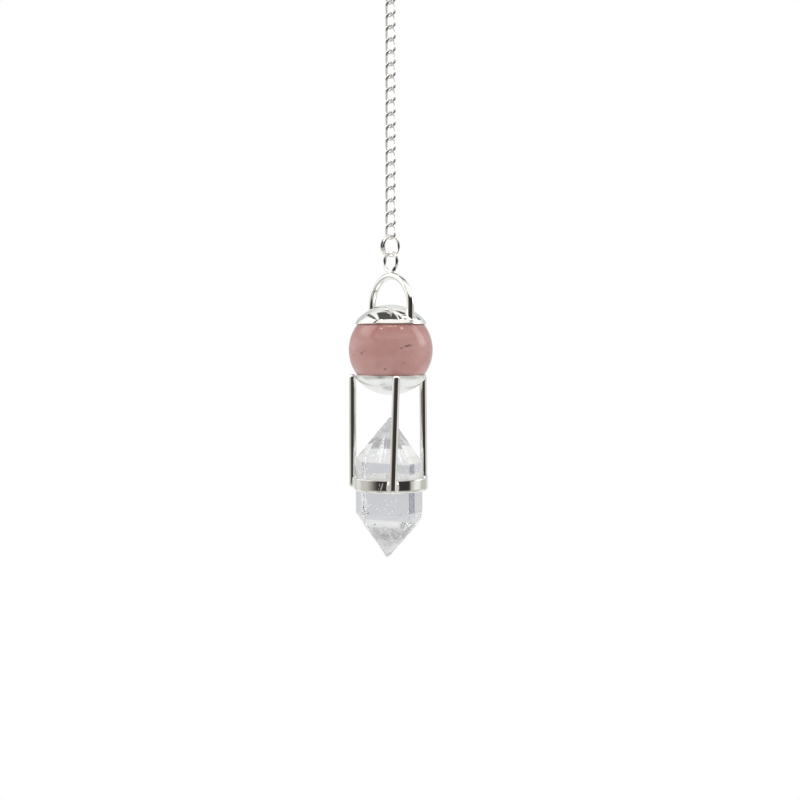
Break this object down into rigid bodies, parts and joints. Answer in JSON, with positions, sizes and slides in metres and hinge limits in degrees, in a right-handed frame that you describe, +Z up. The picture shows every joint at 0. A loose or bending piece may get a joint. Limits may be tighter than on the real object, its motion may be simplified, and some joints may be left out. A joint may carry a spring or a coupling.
{
  "type": "pendulum pendant",
  "caption": "Pendulum pendant: a stone ball between two metal caps over a wire cage that holds a clear double-pointed crystal, hanging from a fine curb chain with an end ring.",
  "frame": {"origin": "the hang point: inside the top of the ring at the chain's top end, where a hook or finger carries it", "axes": "+Z up along the hanging chain; the picture's camera looks along +Y with +X to the right"},
  "size_m": [0.0162, 0.0166, 0.1132],
  "materials": {
    "silver": "bright polished silver plate",
    "rose_quartz": "polished, milky pink with faint dark flecks",
    "rock_crystal": "polished clear quartz with veils and flecks"
  },
  "bodies": {
    "chain": {"end_ring": "silver", "link_01": "silver", "link_02": "silver", "link_03": "silver", "link_04": "silver", "link_05": "silver", "link_06": "silver", "link_07": "silver", "link_08": "silver", "link_09": "silver", "link_10": "silver", "link_11": "silver", "link_12": "silver", "link_13": "silver", "link_14": "silver", "link_15": "silver", "link_16": "silver", "link_17": "silver", "link_18": "silver", "link_19": "silver", "link_20": "silver", "jump_ring": "silver"},
    "pendant": {"upper_cap": "silver", "ball": "rose_quartz", "cage": "silver", "crystal": "rock_crystal"}
  },
  "joints": [
    {"name": "pendant_swing", "type": "hinge", "parent": "chain", "child": "pendant", "pos_m": [0, 0, -0.05442], "axis": [0.788, 0.6157, 0], "range_deg": [-120, 120]}
  ]
}
